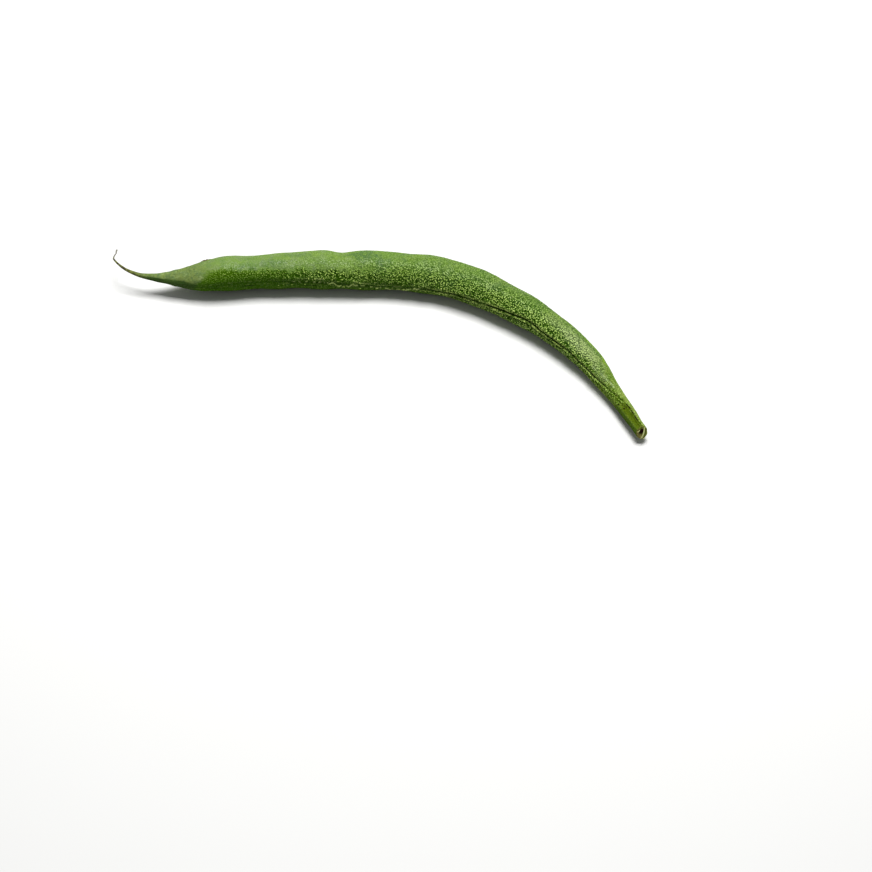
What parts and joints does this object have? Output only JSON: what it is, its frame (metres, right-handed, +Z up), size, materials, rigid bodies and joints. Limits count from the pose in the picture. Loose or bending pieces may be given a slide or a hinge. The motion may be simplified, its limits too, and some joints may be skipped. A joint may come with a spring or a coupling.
{
  "type": "green bean",
  "caption": "Fresh green bean pod as picked: a plump curved pod with a furrowed seam, seeds swelling under the skin, a broken stem end and a curled dry beak.",
  "frame": {"origin": "centre of the bounding box at the surface that the pod lies on", "axes": "+Z up from the surface, +X along the pod from its beak towards its stem end, +Y towards the outer side of its bend"},
  "size_m": [0.1276, 0.0578, 0.0091],
  "materials": {
    "pod_skin": "waxy mid-green plant skin, finely pebbled, with a dull sheen"
  },
  "bodies": {
    "root": {"pod": "pod_skin"}
  },
  "joints": []
}
